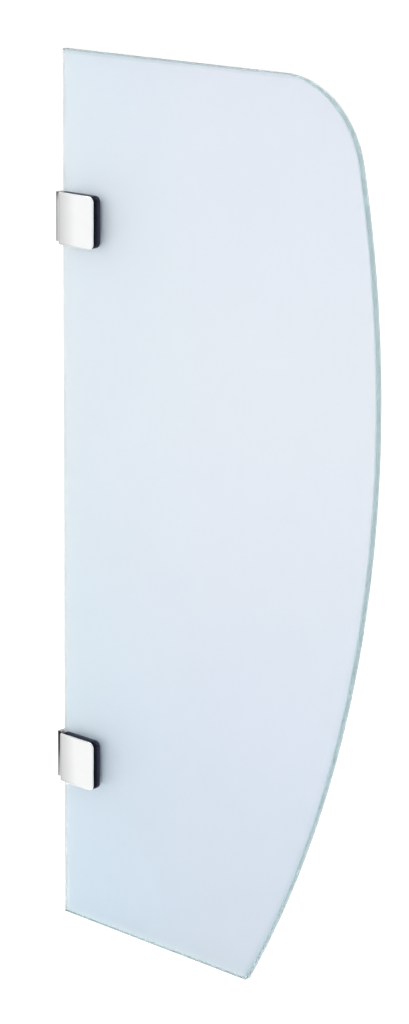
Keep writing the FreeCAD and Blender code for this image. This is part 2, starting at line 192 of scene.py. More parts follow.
def rounded_outline(corners, radii, steps=ARC_STEPS):
    """Closed outline with an arc of its own radius at each corner.

    The arc's centre lies on the corner's bisector, at radius over the sine of half the angle. Its points turn
    evenly from one side's foot to the other's, as sines weigh the two spokes. Doubled points are dropped.
    """
    corners = np.asarray(corners, float)
    radii = np.asarray(radii, float)[:, None]
    back = np.roll(corners, 1, axis=0) - corners
    ahead = np.roll(corners, -1, axis=0) - corners
    back /= np.linalg.norm(back, axis=1, keepdims=True)
    ahead /= np.linalg.norm(ahead, axis=1, keepdims=True)
    half = np.arccos(np.clip((back * ahead).sum(axis=1, keepdims=True), -1, 1)) / 2
    bisector = back + ahead
    bisector /= np.linalg.norm(bisector, axis=1, keepdims=True)
    centre = corners + bisector * radii / np.sin(half)
    foot = radii / np.tan(half)
    sweep = (math.pi - 2 * half)[:, None]
    share = np.linspace(0, 1, steps)[None, :, None]
    first = (corners + back * foot - centre)[:, None]
    last = (corners + ahead * foot - centre)[:, None]
    spokes = (np.sin((1 - share) * sweep) * first + np.sin(share * sweep) * last) / np.sin(sweep)
    points = (centre[:, None] + spokes).reshape(-1, 2)
    return points[np.linalg.norm(points - np.roll(points, 1, axis=0), axis=1) > SAME_POINT]


def divided(outline, longest):
    """The same closed outline with its long sides cut into even parts, none longer than a limit."""
    side = np.roll(outline, -1, axis=0) - outline
    parts = np.ceil(np.linalg.norm(side, axis=1) / longest).astype(int)
    order = np.arange(parts.sum()) - np.repeat(np.cumsum(parts) - parts, parts)
    step = side / parts[:, None]
    return np.repeat(outline, parts, axis=0) + np.repeat(step, parts, axis=0) * order[:, None]


def inward(outline):
    """Step that draws a closed, anticlockwise outline in by one unit.

    Each point moves along the sum of the two inward normals beside it, over one plus their product, so that
    straight sides stay parallel through a corner.
    """
    side = np.roll(outline, -1, axis=0) - outline
    side /= np.linalg.norm(side, axis=1, keepdims=True)
    after = np.stack([-side[:, 1], side[:, 0]], axis=1)
    before = np.roll(after, 1, axis=0)
    return (before + after) / (1 + (before * after).sum(axis=1, keepdims=True))


def soft_edge(low, high, radius, steps=EDGE_STEPS):
    """Edge profile from the front face to the rear one: a quarter round, the edge's flat, a quarter round.

    Along each quarter round a step is drawn in by the radius less its sine, and sinks by the radius less its
    cosine. Returns how far each step is drawn in, and its depth.
    """
    turn = np.linspace(0, math.pi / 2, steps)
    drawn_in = radius * (1 - np.sin(turn))
    depth = radius * (1 - np.cos(turn))
    return (
        np.concatenate([drawn_in, drawn_in[::-1]]),
        np.concatenate([low + depth, high - depth[::-1]]),
    )


def ring_faces(rings, count, first=0):
    """Faces between neighbouring rings of points, each ring closed on itself."""
    ring = first + np.arange(rings - 1)[:, None] * count
    here = np.arange(count)[None]
    following = (here + 1) % count
    corners = [ring + here, ring + count + here, ring + count + following, ring + following]
    return np.stack(corners, axis=-1).reshape(-1, 4)


def new_piece(name, points, faces, flat=()):
    """Mesh object with smooth faces, apart from the flat ones, and edges kept crisp past an angle."""
    mesh = bpy.data.meshes.new(name)
    mesh.from_pydata(points.reshape(-1, 3).tolist(), [], faces)
    mesh.shade_smooth()
    mesh.set_sharp_from_angle(angle=SHARP_ANGLE)
    for index in flat:
        mesh.polygons[index].use_smooth = False
    mesh.validate()
    piece = bpy.data.objects.new(name, mesh)
    bpy.context.scene.collection.objects.link(piece)
    return piece


def plate(name, outline, profile):
    """Flat plate that stands in the XZ plane: an edge profile carried round an outline, and two flat faces.

    Point (k, s) is the outline's point s drawn in by the profile's step k, at that step's depth along Y. A
    step is drawn in by one amount all round, or by its own amount at each point.
    """
    drawn_in, depth = profile
    level = outline[None] + inward(outline)[None] * drawn_in.reshape(len(depth), -1, 1)
    rings, count = level.shape[:2]
    across, up = level[..., 0], level[..., 1]
    points = np.stack([across, np.broadcast_to(depth[:, None], (rings, count)), up], axis=-1)
    edge = ring_faces(rings, count).tolist()
    front = list(range(count))
    rear = list(range(rings * count - 1, (rings - 1) * count - 1, -1))
    return new_piece(name, points, edge + [front, rear], flat=(len(edge), len(edge) + 1))


def clamp_corners(low, high):
    """Corners of a clamp's square in the XZ plane, anticlockwise from the front, and the radius of each."""
    corners = [(low[0], low[2]), (high[0], low[2]), (high[0], high[2]), (low[0], high[2])]
    return corners, [WALL_CORNER_RADIUS, OUTER_CORNER_RADIUS, OUTER_CORNER_RADIUS, WALL_CORNER_RADIUS]


def tongue_cut(side, left):
    """Corners of the cut-out round a clamp's tongue, open at the wall side, and the radius of each."""
    middle = CLAMP_HEIGHTS[side]
    growth = 2 * LINER_CLEARANCE + LINER_THICKNESS
    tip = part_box(f"{side}_wall_block")[1][0] + growth
    half = TONGUE_HEIGHT / 2 + growth
    corners = [(left, middle + half), (tip, middle + half), (tip, middle - half), (left, middle - half)]
    return corners, [0, TONGUE_CORNER_RADIUS + growth, TONGUE_CORNER_RADIUS + growth, 0]


def sheet_outline():
    """The sheet's outline, anticlockwise from the top of its wall edge.

    The wall edge steps in round each cut-out. The bulging side is two arcs that meet upright at the widest
    point, and each end arc touches a level edge and the side from inside.
    """
    low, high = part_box("glass_panel")
    left, bottom, right, top = low[0], low[2], high[0], high[2]
    upper_cut, cut_radii = tongue_cut("upper", left)
    lower_cut, _ = tongue_cut("lower", left)
    wall = [(left, top)] + upper_cut + lower_cut + [(left, bottom), (right, bottom), (right, top)]
    wall_edge = rounded_outline(wall, [0] + cut_radii * 2 + [0] * 3)[:-2]

    widest = bottom + WIDEST_HEIGHT

    def touch(side_radius, corner_radius, level):
        centre = np.array([right - side_radius, widest])
        rise = math.asin((level - widest) / (side_radius - corner_radius))
        corner = centre + (side_radius - corner_radius) * np.array([math.cos(rise), math.sin(rise)])
        return centre, rise, corner

    upper_centre, upper_rise, upper_corner = touch(
        UPPER_SIDE_RADIUS, TOP_CORNER_RADIUS, top - TOP_CORNER_RADIUS
    )
    lower_centre, lower_rise, lower_corner = touch(
        LOWER_SIDE_RADIUS, BOTTOM_CORNER_RADIUS, bottom + BOTTOM_CORNER_RADIUS
    )
    return np.concatenate([
        wall_edge,
        arc(lower_corner, BOTTOM_CORNER_RADIUS, -math.pi / 2, lower_rise, ARC_STEPS),
        arc(lower_centre, LOWER_SIDE_RADIUS, lower_rise, 0, LONG_ARC_STEPS)[1:],
        arc(upper_centre, UPPER_SIDE_RADIUS, 0, upper_rise, LONG_ARC_STEPS)[1:],
        arc(upper_corner, TOP_CORNER_RADIUS, upper_rise, math.pi / 2, LONG_ARC_STEPS)[1:],
    ])


def glass_sheet():
    """Frosted faces, and a polished edge that takes in its arris and a clear rim on both faces.

    The rim widens to the bottom edge by its share of the last stretch. The edge at the wall is left frosted.
    """
    low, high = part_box("glass_panel")
    outline = sheet_outline()
    drawn_in, depth = soft_edge(low[1], high[1], ARRIS, steps=ARRIS_STEPS)
    rim = ARRIS + CLEAR_RIM
    lowness = np.clip((low[2] + BOTTOM_RIM_REACH - outline[:, 1]) / BOTTOM_RIM_REACH, 0, 1)
    low_rim = rim + BOTTOM_RIM * lowness
    steps = np.repeat(drawn_in[:, None], len(outline), axis=1)
    profile = np.concatenate([[low_rim], steps, [low_rim]]), np.r_[low[1], depth, high[1]]
    piece = plate("glass_sheet", outline, profile)
    piece.data.materials.append(frosted_glass())
    piece.data.materials.append(polished_glass())
    centres = np.empty(3 * len(piece.data.polygons), dtype=np.float32)
    piece.data.polygons.foreach_get("center", centres)
    index = (centres[::3] > low[0] + rim).astype(np.int32)
    index[-2:] = 0
    piece.data.polygons.foreach_set("material_index", index)
    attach(piece, "panel")
    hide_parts("glass_panel")


def front_cover(side):
    """Pillowed cover plate.

    Rings run from the rear rim over the soft edge and on to the middle of the face. The face falls away from
    its middle by the squares of the distance across and up, as shares of its half width and half height, and
    most of the fall is across.
    """
    node = f"{side}_front_cover"
    low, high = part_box(node)
    outline = divided(rounded_outline(*clamp_corners(low, high)), COVER_STEP)
    middle = np.array([(low[0] + high[0]) / 2, (low[2] + high[2]) / 2])
    half = np.array([(high[0] - low[0]) / 2, (high[2] - low[2]) / 2])
    turn = np.linspace(0, math.pi / 2, EDGE_STEPS)
    drawn_in = np.concatenate([[0.0], COVER_EDGE_ROUND * (1 - np.cos(turn))])
    rim = outline[None] + inward(outline)[None] * drawn_in[:, None, None]
    share = np.linspace(1, 0, FACE_RINGS)[1:-1, None, None]
    level = np.concatenate([rim, middle + (rim[-1] - middle)[None] * share])
    rings, count = level.shape[:2]
    fall = COVER_CROWN * (((level - middle) / half) ** 2 * CROWN_SHARES).sum(axis=-1)
    sink = np.zeros((rings, 1))
    sink[1:1 + EDGE_STEPS, 0] = COVER_EDGE_ROUND * (1 - np.sin(turn))
    depth = low[1] + fall + sink
    depth[0] = high[1]
    points = np.stack([level[..., 0], depth, level[..., 1]], axis=-1).reshape(-1, 3)
    points = np.concatenate([points, [[middle[0], low[1], middle[1]]]])
    pole = rings * count
    last = pole - count + np.arange(count)
    fan = np.stack([last, np.full(count, pole), np.roll(last, -1)], axis=-1)
    faces = ring_faces(rings, count)[:, ::-1].tolist() + fan[:, ::-1].tolist()
    faces += [list(range(count - 1, -1, -1))]
    piece = new_piece(f"{node}_plate", points, faces, flat=(len(faces) - 1,))
    piece.data.materials.append(finishes["polished_chrome"])
    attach(piece, f"{side}_jaw")
    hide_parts(node)


def grip_pad(side, end, body, slot):
    """Soft sheet with round corners and a cut-out round the tongue, a hair thinner than its seat."""
    node = f"{side}_{end}_pad"
    low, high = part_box(node)
    corners, radii = clamp_corners(low, high)
    cut, cut_radii = tongue_cut(side, low[0])
    outline = rounded_outline(corners + cut, radii + cut_radii)
    profile = soft_edge(low[1] + PAD_GAP, high[1] - PAD_GAP, PAD_EDGE_ROUND)
    piece = plate(f"{node}_sheet", outline, profile)
    piece.data.materials.append(finishes[slot])
    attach(piece, body)
    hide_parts(node)


def clamp_screw(side, end):
    """Countersunk screw with a real thread and a six-sided socket.

    Each row is a circle about the axis. Along the thread its radius falls by the height of a triangle wave of
    the depth plus the angle, so that the wave climbs one pitch in each turn. In the socket the radius is half
    the width over the cosine of the angle from the middle of the nearest flat.
    """
    node = f"{side}_clamp_screw_{end}"
    low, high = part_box(node)
    axis = ((low[0] + high[0]) / 2, (low[2] + high[2]) / 2)
    turn = np.linspace(0, 2 * math.pi, SCREW_STEPS, endpoint=False)
    cone_foot = high[1] - SCREW_HEAD_RIM - (SCREW_HEAD_RADIUS - SCREW_RADIUS)
    turns = (cone_foot - low[1]) / THREAD_PITCH
    along = np.linspace(low[1] + SCREW_TIP_CHAMFER, cone_foot, int(turns * ROWS_PER_TURN))
    wave = np.abs(2 * ((along[:, None] / THREAD_PITCH + turn / (2 * math.pi)) % 1) - 1)
    fade = np.clip((cone_foot - along) / THREAD_PITCH, 0, 1)[:, None]
    thread = SCREW_RADIUS - THREAD_DEPTH * wave * fade
    flat = SOCKET_WIDTH / 2 / np.cos(turn % (math.pi / 3) - math.pi / 6)
    mouth = flat + SOCKET_LEAD_IN
    head = [
        (SCREW_HEAD_RADIUS, high[1] - SCREW_HEAD_RIM),
        (SCREW_HEAD_RADIUS, high[1] - SCREW_HEAD_CHAMFER),
        (SCREW_HEAD_RADIUS - SCREW_HEAD_CHAMFER, high[1]),
        (mouth, high[1]),
        (flat, high[1] - SOCKET_LEAD_IN),
        (flat, high[1] - SOCKET_DEPTH),
    ]
    tip = np.full((1, SCREW_STEPS), SCREW_RADIUS - SCREW_TIP_CHAMFER)
    radius = np.concatenate([tip, thread] + [np.broadcast_to(r, (1, SCREW_STEPS)) for r, _ in head])
    depth = np.concatenate([[low[1]], along, [place for _, place in head]])[:, None]
    points = np.stack([
        axis[0] + radius * np.cos(turn),
        np.broadcast_to(depth, radius.shape),
        axis[1] + radius * np.sin(turn),
    ], axis=-1)
    rows = len(radius)
    faces = ring_faces(rows, SCREW_STEPS).tolist()
    faces += [list(range(SCREW_STEPS)), list(range(rows * SCREW_STEPS - 1, (rows - 1) * SCREW_STEPS - 1, -1))]
    piece = new_piece(f"{node}_threaded", points, faces, flat=(len(faces) - 2, len(faces) - 1))
    piece.data.materials.append(finishes["screw_steel"])
    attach(piece, f"{side}_{end}_screw")
    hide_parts(node)


def cut_shadow_gap(work):
    """Step the front of a jaw in all round, so that a dark line shows under its cover."""
    depth = min(corner.co.y for corner in work.verts)
    front = [face for face in work.faces if max(corner.co.y for corner in face.verts) < depth + SAME_POINT]
    rim = list({corner for face in front for corner in face.verts})
    bmesh.ops.translate(work, verts=rim, vec=(0, SHADOW_GAP, 0))
    bmesh.ops.inset_region(work, faces=front, thickness=SHADOW_DEPTH, use_even_offset=True)
    grown = bmesh.ops.extrude_face_region(work, geom=front)["geom"]
    corners = [item for item in grown if isinstance(item, bmesh.types.BMVert)]
    bmesh.ops.translate(work, verts=corners, vec=(0, -SHADOW_GAP, 0))
    bmesh.ops.delete(work, geom=front, context="FACES_KEEP_BOUNDARY")


def eased_copy(node, body, slot, edge, shape=None):
    """The node's own solid, with its corners joined, a change of shape if it has one, and its edges eased."""
    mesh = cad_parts[node].data.copy()
    mesh.name = f"{node}_eased"
    mesh.materials.clear()
    work = bmesh.new()
    work.from_mesh(mesh)
    bmesh.ops.remove_doubles(work, verts=work.verts, dist=SAME_POINT)
    bmesh.ops.dissolve_limit(work, angle_limit=FLAT_ANGLE, verts=work.verts, edges=work.edges)
    if shape:
        shape(work)
    work.to_mesh(mesh)
    work.free()
    mesh.shade_smooth()
    mesh.set_sharp_from_angle(angle=SHARP_ANGLE)
    piece = bpy.data.objects.new(f"{node}_eased", mesh)
    bpy.context.scene.collection.objects.link(piece)
    bevel = piece.modifiers.new("eased edges", "BEVEL")
    bevel.width = edge
    bevel.segments = EASED_STEPS
    bevel.limit_method = "ANGLE"
    bevel.angle_limit = SHARP_ANGLE
    piece.modifiers.new("even shading", "WEIGHTED_NORMAL").keep_sharp = True
    mesh.materials.append(finishes[slot])
    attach(piece, body)
    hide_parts(node)


# Finishes

def new_finish(name):
    """New material with its tree, its one shader and the place on the piece, as its nodes read it."""
    material = bpy.data.materials.new(name)
    material.use_nodes = True
    tree = material.node_tree
    shader = tree.nodes["Principled BSDF"]
    place = tree.nodes.new("ShaderNodeTexCoord").outputs["Object"]
    return material, tree, shader, place


def noise(tree, place, per_metre, detail=2.0, stretch=None):
    """Noise of so many cells in a metre, drawn out along an axis where stretch says so."""
    if stretch:
        mapping = tree.nodes.new("ShaderNodeMapping")
        mapping.inputs["Scale"].default_value = stretch
        tree.links.new(place, mapping.inputs["Vector"])
        place = mapping.outputs["Vector"]
    texture = tree.nodes.new("ShaderNodeTexNoise")
    texture.inputs["Scale"].default_value = per_metre
    texture.inputs["Detail"].default_value = detail
    tree.links.new(place, texture.inputs["Vector"])
    return texture.outputs["Fac"]


def ramp(tree, value, stops):
    """Colour that runs through the stops, each a place from 0 to 1 and a colour, as the value rises."""
    node = tree.nodes.new("ShaderNodeValToRGB")
    elements = node.color_ramp.elements
    while len(elements) < len(stops):
        elements.new(1.0)
    for element, (place, colour) in zip(elements, stops):
        element.position = place
        element.color = (*colour, 1)
    tree.links.new(value, node.inputs["Fac"])
    return node.outputs["Color"]


def tones(tree, value, first, last):
    """Colour that runs from the first tone to the last as the noise rises through its middle."""
    low, high = NOISE_MIDDLE
    return ramp(tree, value, [(low, first), (high, last)])


def share_of(tree, value, first, last, low=0.0, high=1.0):
    """Number that runs from low to high as the value runs from the first one to the last."""
    reach = tree.nodes.new("ShaderNodeMapRange")
    reach.inputs["From Min"].default_value = first
    reach.inputs["From Max"].default_value = last
    reach.inputs["To Min"].default_value = low
    reach.inputs["To Max"].default_value = high
    tree.links.new(value, reach.inputs["Value"])
    return reach.outputs["Result"]


def between(tree, value, low, high):
    """Number that runs from low to high as the noise rises through its middle."""
    return share_of(tree, value, *NOISE_MIDDLE, low, high)


def share_along(tree, place, axis, first, last):
    """How far a point lies from the first place along an axis to the last, from nought to one."""
    parts = tree.nodes.new("ShaderNodeSeparateXYZ")
    tree.links.new(place, parts.inputs["Vector"])
    return share_of(tree, parts.outputs[axis], first, last)


def distance_from(tree, place, centre):
    """How far a point lies from a fixed one."""
    node = tree.nodes.new("ShaderNodeVectorMath")
    node.operation = "DISTANCE"
    node.inputs[1].default_value = centre
    tree.links.new(place, node.inputs[0])
    return node.outputs["Value"]


def added(tree, value, weight, base):
    """The value times a weight, on top of a base."""
    node = tree.nodes.new("ShaderNodeMath")
    node.operation = "MULTIPLY_ADD"
    node.inputs[1].default_value = weight
    tree.links.new(value, node.inputs[0])
    tree.links.new(base, node.inputs[2])
    return node.outputs[0]


def colour_mix(tree, first, last, kind):
    """Mix of two colours: the socket for the share of the last one, and the colour."""
    node = tree.nodes.new("ShaderNodeMix")
    node.data_type = "RGBA"
    node.blend_type = kind
    sockets = {socket.name: socket for socket in node.inputs if socket.type == "RGBA"}
    tree.links.new(first, sockets["A"])
    tree.links.new(last, sockets["B"])
    return node.inputs["Factor"], next(socket for socket in node.outputs if socket.type == "RGBA")


def mixed(tree, share, first, last):
    """Colour that runs from the first colour to the last as the share rises from nought to one."""
    factor, result = colour_mix(tree, first, last, "MIX")
    tree.links.new(share, factor)
    return result


def shaded(tree, colour, shade):
    """One colour times another."""
    factor, result = colour_mix(tree, colour, shade, "MULTIPLY")
    factor.default_value = 1.0
    return result


def relief(tree, shader, value, height, strength=1.0):
    """Bump of a height in metres."""
    bump = tree.nodes.new("ShaderNodeBump")
    bump.inputs["Strength"].default_value = strength
    bump.inputs["Distance"].default_value = height
    tree.links.new(value, bump.inputs["Height"])
    tree.links.new(bump.outputs["Normal"], shader.inputs["Normal"])


def frosted_glass():
    """Etched faces: light passes and scatters, with a fine grain and a faint cloud in the tint.

    Painted shade deepens the tint towards the bottom of the sheet. Painted light pales it in a soft margin at
    the wall, where the edge itself is smooth. Painted shade deepens it along the top, and down the round side
    below its widest part.
    """
    material, tree, shader, place = new_finish("frosted_glass_faces")
    shader.inputs["Transmission Weight"].default_value = 0.85
    shader.inputs["IOR"].default_value = 1.5
    low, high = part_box("glass_panel")
    height = share_along(tree, place, "Z", low[2], high[2] + TINT_AND_SHADE_ABOVE_TOP)
    height = added(tree, noise(tree, place, 3.0, detail=1.0), FROST_DRIFT, height)
    # Painted shade: both ramps darken and blue the tint towards the bottom of the sheet
    wall_side = ramp(tree, height, [
        (0.10, (0.672, 0.790, 0.890)),
        (0.36, (0.744, 0.840, 0.905)),
        (0.63, (0.795, 0.860, 0.913)),
        (1.00, (0.774, 0.861, 0.928)),
    ])
    outer_side = ramp(tree, height, [
        (0.08, (0.685, 0.758, 0.838)),
        (0.35, (0.755, 0.818, 0.900)),
        (0.52, (0.803, 0.850, 0.915)),
        (0.70, (0.823, 0.872, 0.926)),
        (1.00, (0.816, 0.855, 0.928)),
    ])
    outward = share_along(tree, place, "X", low[0], low[0] + WALL_TINT_AND_SHADE_REACH)
    colour = mixed(tree, outward, wall_side, outer_side)
    # Painted light: a paler margin along the wall edge
    wall_painted_light = tones(tree, noise(tree, place, 40.0), (0.93, 0.99, 1.0), (0.96, 1.0, 1.0))
    near_wall = share_along(tree, place, "X", low[0] + WALL_MARGIN, low[0])
    colour = mixed(tree, near_wall, colour, wall_painted_light)
    # Painted shade along the top edge, deeper towards the wall
    top_painted_shade = ramp(tree, outward, [(0.3, (0.72, 0.77, 0.78)), (1.0, (0.84, 0.87, 0.88))])
    near_top = share_along(tree, place, "Z", high[2] - TOP_MARGIN, high[2])
    colour = mixed(tree, near_top, colour, shaded(tree, colour, top_painted_shade))
    # Painted shade down the round side, deepest low down
    side_painted_shade = ramp(tree, height, [
        (0.10, (0.81, 0.88, 0.89)),
        (0.45, (0.88, 0.94, 0.95)),
        (0.62, (1.0, 1.0, 1.0)),
    ])
    side_centre = (high[0] - LOWER_SIDE_RADIUS, 0, low[2] + WIDEST_HEIGHT)
    from_centre = distance_from(tree, place, side_centre)
    near_side = share_of(tree, from_centre, LOWER_SIDE_RADIUS - SIDE_MARGIN, LOWER_SIDE_RADIUS)
    colour = mixed(tree, near_side, colour, shaded(tree, colour, side_painted_shade))
    tree.links.new(colour, shader.inputs["Base Color"])
    rough = between(tree, noise(tree, place, 40.0), *FROST_ROUGHNESS)
    at_wall = share_along(tree, place, "X", low[0] + ARRIS, low[0])
    tree.links.new(added(tree, at_wall, WALL_EDGE_DROP, rough), shader.inputs["Roughness"])
    relief(tree, shader, noise(tree, place, 2200.0, detail=3.0), 0.03 * MM, strength=0.5)
    return material


def polished_glass():
    """Ground and polished edge: clear, greener for the glass behind it, with a dark line past its middle.

    The dark line past its middle is painted shade. Painted light pales it sooner away from the widest part of
    the sheet, painted shade turns it grey along the top, and painted shade makes it darkest along the bottom.
    """
    material, tree, shader, place = new_finish("polished_glass_edge")
    shader.inputs["Transmission Weight"].default_value = 1.0
    shader.inputs["IOR"].default_value = 1.52
    low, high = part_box("glass_panel")
    spare = EDGE_SPARE * (high[1] - low[1])
    depth = share_along(tree, place, "Y", low[1] - spare, high[1] + spare)
    depth = added(tree, noise(tree, place, 12.0), EDGE_DRIFT, depth)
    # Painted light: the edge pales away from the widest part of the sheet
    inwards = share_along(tree, place, "X", high[0], high[0] - EDGE_PAINTED_LIGHT_REACH)
    depth = added(tree, inwards, EDGE_PALER_INWARDS, depth)
    # Painted shade: the edge is darkest along the bottom
    near_bottom = share_along(tree, place, "Z", low[2] + BOTTOM_LINE_REACH, low[2])
    depth = added(tree, near_bottom, EDGE_DARKER_BELOW, depth)
    # The dip at 0.54 is a painted dark line of shade
    stops = [
        (0.00, (0.18, 0.32, 0.31)),
        (0.15, (0.41, 0.57, 0.56)),
        (0.31, (0.40, 0.57, 0.56)),
        (0.45, (0.35, 0.55, 0.53)),
        (0.54, (0.24, 0.45, 0.42)),
        (0.65, (0.46, 0.65, 0.59)),
        (0.78, (0.68, 0.81, 0.74)),
        (1.00, (0.90, 0.98, 0.93)),
    ]
    # Painted shade: the edge turns grey along the top
    near_top = share_along(tree, place, "Z", high[2] - ARRIS, high[2])
    top_edge_painted_shade = tones(tree, noise(tree, place, 12.0), (0.24, 0.33, 0.34), (0.32, 0.41, 0.42))
    colour = mixed(tree, near_top, ramp(tree, depth, stops), top_edge_painted_shade)
    tree.links.new(colour, shader.inputs["Base Color"])
    tree.links.new(between(tree, noise(tree, place, 900.0), 0.05, 0.12), shader.inputs["Roughness"])
    return material


def polished_chrome():
    """Bright plating, with the faintest haze and ripple."""
    material, tree, shader, place = new_finish("polished_chrome")
    shader.inputs["Metallic"].default_value = 1.0
    cloud = noise(tree, place, 60.0)
    tree.links.new(tones(tree, cloud, (0.92, 0.925, 0.93), (0.94, 0.945, 0.95)), shader.inputs["Base Color"])
    tree.links.new(between(tree, noise(tree, place, 250.0), 0.03, 0.05), shader.inputs["Roughness"])
    relief(tree, shader, noise(tree, place, 120.0), 0.002 * MM, strength=0.5)
    return material


def black_coated_zinc():
    """Satin black coat with a fine orange peel, painted lighter and bluer towards the glass as a painted
    reflection of it.
    """
    material, tree, shader, place = new_finish("black_coated_zinc")
    shader.inputs["Specular IOR Level"].default_value = 0.04
    low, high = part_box("lower_front_jaw")
    depth = share_along(tree, place, "Y", low[1], high[1])
    depth = added(tree, noise(tree, place, 80.0), COAT_DRIFT, depth)
    # Painted reflection: the coat runs from near black by the cover to a lighter navy by the glass
    stops = [
        (0.25, (0.003, 0.003, 0.006)),
        (0.60, (0.012, 0.0125, 0.024)),
        (1.00, (0.060, 0.061, 0.098)),
    ]
    tree.links.new(ramp(tree, depth, stops), shader.inputs["Base Color"])
    tree.links.new(between(tree, noise(tree, place, 300.0), 0.32, 0.42), shader.inputs["Roughness"])
    relief(tree, shader, noise(tree, place, 1400.0), 0.01 * MM, strength=0.5)
    return material


def brushed_steel():
    """Steel with fine upright brush lines, and painted shade on the front that deepens up each block."""
    material, tree, shader, place = new_finish("brushed_steel")
    shader.inputs["Metallic"].default_value = 1.0
    lines = noise(tree, place, 2500.0, detail=3.0, stretch=(1.0, 1.0, 0.02))
    low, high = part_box("lower_wall_block")[0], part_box("upper_wall_block")[1]
    # Painted shade: darkest near the top of each block, deeper at the lower one
    shade_levels = [
        (0.000, 0.95), (0.030, 0.55), (0.045, 0.2), (0.080, 0.035),
        (0.200, 0.6), (0.920, 1.0), (0.985, 1.0), (1.000, 0.25),
    ]
    height = share_along(tree, place, "Z", low[2], high[2])
    painted_shade = ramp(tree, height, [(share, (tone, tone, tone)) for share, tone in shade_levels])
    bare = tones(tree, lines, (0.52, 0.52, 0.53), (0.62, 0.62, 0.63))
    behind_front = share_along(tree, place, "Y", *(low[1] + depth for depth in BLOCK_PAINTED_SHADE_DEPTHS))
    colour = mixed(tree, behind_front, shaded(tree, bare, painted_shade), bare)
    tree.links.new(colour, shader.inputs["Base Color"])
    tree.links.new(between(tree, lines, 0.26, 0.4), shader.inputs["Roughness"])
    relief(tree, shader, lines, 0.008 * MM, strength=0.6)
    return material


def screw_steel():
    """Bright turned steel."""
    material, tree, shader, place = new_finish("screw_steel")
    shader.inputs["Metallic"].default_value = 1.0
    marks = noise(tree, place, 1800.0, detail=3.0, stretch=(1.0, 0.1, 1.0))
    tree.links.new(tones(tree, marks, (0.52, 0.52, 0.53), (0.64, 0.64, 0.65)), shader.inputs["Base Color"])
    tree.links.new(between(tree, marks, 0.2, 0.34), shader.inputs["Roughness"])
    relief(tree, shader, marks, 0.005 * MM, strength=0.5)
    return material


def black_rubber():
    """Matt rubber with a moulded grain."""
    material, tree, shader, place = new_finish("black_rubber")
    colour = tones(tree, noise(tree, place, 90.0), (0.012, 0.012, 0.013), (0.022, 0.022, 0.024))
    tree.links.new(colour, shader.inputs["Base Color"])
    tree.links.new(between(tree, noise(tree, place, 700.0), 0.6, 0.75), shader.inputs["Roughness"])
    relief(tree, shader, noise(tree, place, 2600.0, detail=3.0), 0.03 * MM, strength=0.5)
    return material


def milky_vinyl():
    """Soft sheet that glows a little with the light in it."""
    material, tree, shader, place = new_finish("milky_vinyl")
    shader.inputs["Subsurface Weight"].default_value = 0.3
    shader.inputs["Subsurface Radius"].default_value = (1.0, 1.0, 1.0)
    shader.inputs["Subsurface Scale"].default_value = 0.8 * MM
    cloud = noise(tree, place, 120.0)
    tree.links.new(tones(tree, cloud, (0.78, 0.81, 0.82), (0.84, 0.86, 0.87)), shader.inputs["Base Color"])
    tree.links.new(between(tree, noise(tree, place, 500.0), 0.4, 0.52), shader.inputs["Roughness"])
    relief(tree, shader, noise(tree, place, 2000.0), 0.01 * MM, strength=0.5)
    return material


def clear_plastic():
    """Translucent liner."""
    material, tree, shader, place = new_finish("clear_plastic")
    shader.inputs["Transmission Weight"].default_value = 0.6
    shader.inputs["IOR"].default_value = 1.46
    cloud = noise(tree, place, 100.0)
    tree.links.new(tones(tree, cloud, (0.84, 0.87, 0.88), (0.89, 0.91, 0.92)), shader.inputs["Base Color"])
    tree.links.new(between(tree, noise(tree, place, 400.0), 0.28, 0.4), shader.inputs["Roughness"])
    relief(tree, shader, noise(tree, place, 1500.0), 0.01 * MM, strength=0.5)
    return material


# Studio

def seen_directly(tree):
    """One for a ray that shows its background: from the camera, a mirror or glass. Nought for any other."""
    path = tree.nodes.new("ShaderNodeLightPath")
    total = path.outputs["Is Camera Ray"]
    for name in ("Is Glossy Ray", "Is Transmission Ray"):
        either = tree.nodes.new("ShaderNodeMath")
        either.operation = "MAXIMUM"
        tree.links.new(total, either.inputs[0])
        tree.links.new(path.outputs[name], either.inputs[1])
        total = either.outputs[0]
    return total


def pale_floor():
    """Wide pale floor below the sheet, in even cells. It is lit as any floor, and reads white where seen."""
    material, tree, shader, place = new_finish("pale_floor")
    cloud = noise(tree, place, 1.5)
    tree.links.new(tones(tree, cloud, (0.79, 0.79, 0.79), (0.81, 0.81, 0.81)), shader.inputs["Base Color"])
    shader.inputs["Roughness"].default_value = 0.9
    shader.inputs["Specular IOR Level"].default_value = 0.1
    shader.inputs["Emission Color"].default_value = (1, 1, 1, 1)
    lift = share_of(tree, seen_directly(tree), 0.0, 1.0, 0.0, FLOOR_LIFT)
    tree.links.new(lift, shader.inputs["Emission Strength"])
    level = cad_box[0][2] - FLOOR_DROP
    across = np.linspace(-FLOOR_REACH, FLOOR_REACH, FLOOR_POINTS)
    x, y = np.meshgrid(across, across)
    points = np.stack([x, y, np.full_like(x, level)], axis=-1)
    cells = np.arange(FLOOR_POINTS - 1)
    corner = (cells[:, None] * FLOOR_POINTS + cells[None]).ravel()
    over = corner + FLOOR_POINTS
    faces = np.stack([corner, corner + 1, over + 1, over], axis=-1).tolist()
    floor = new_piece("floor", points, faces)
    floor.data.materials.append(material)


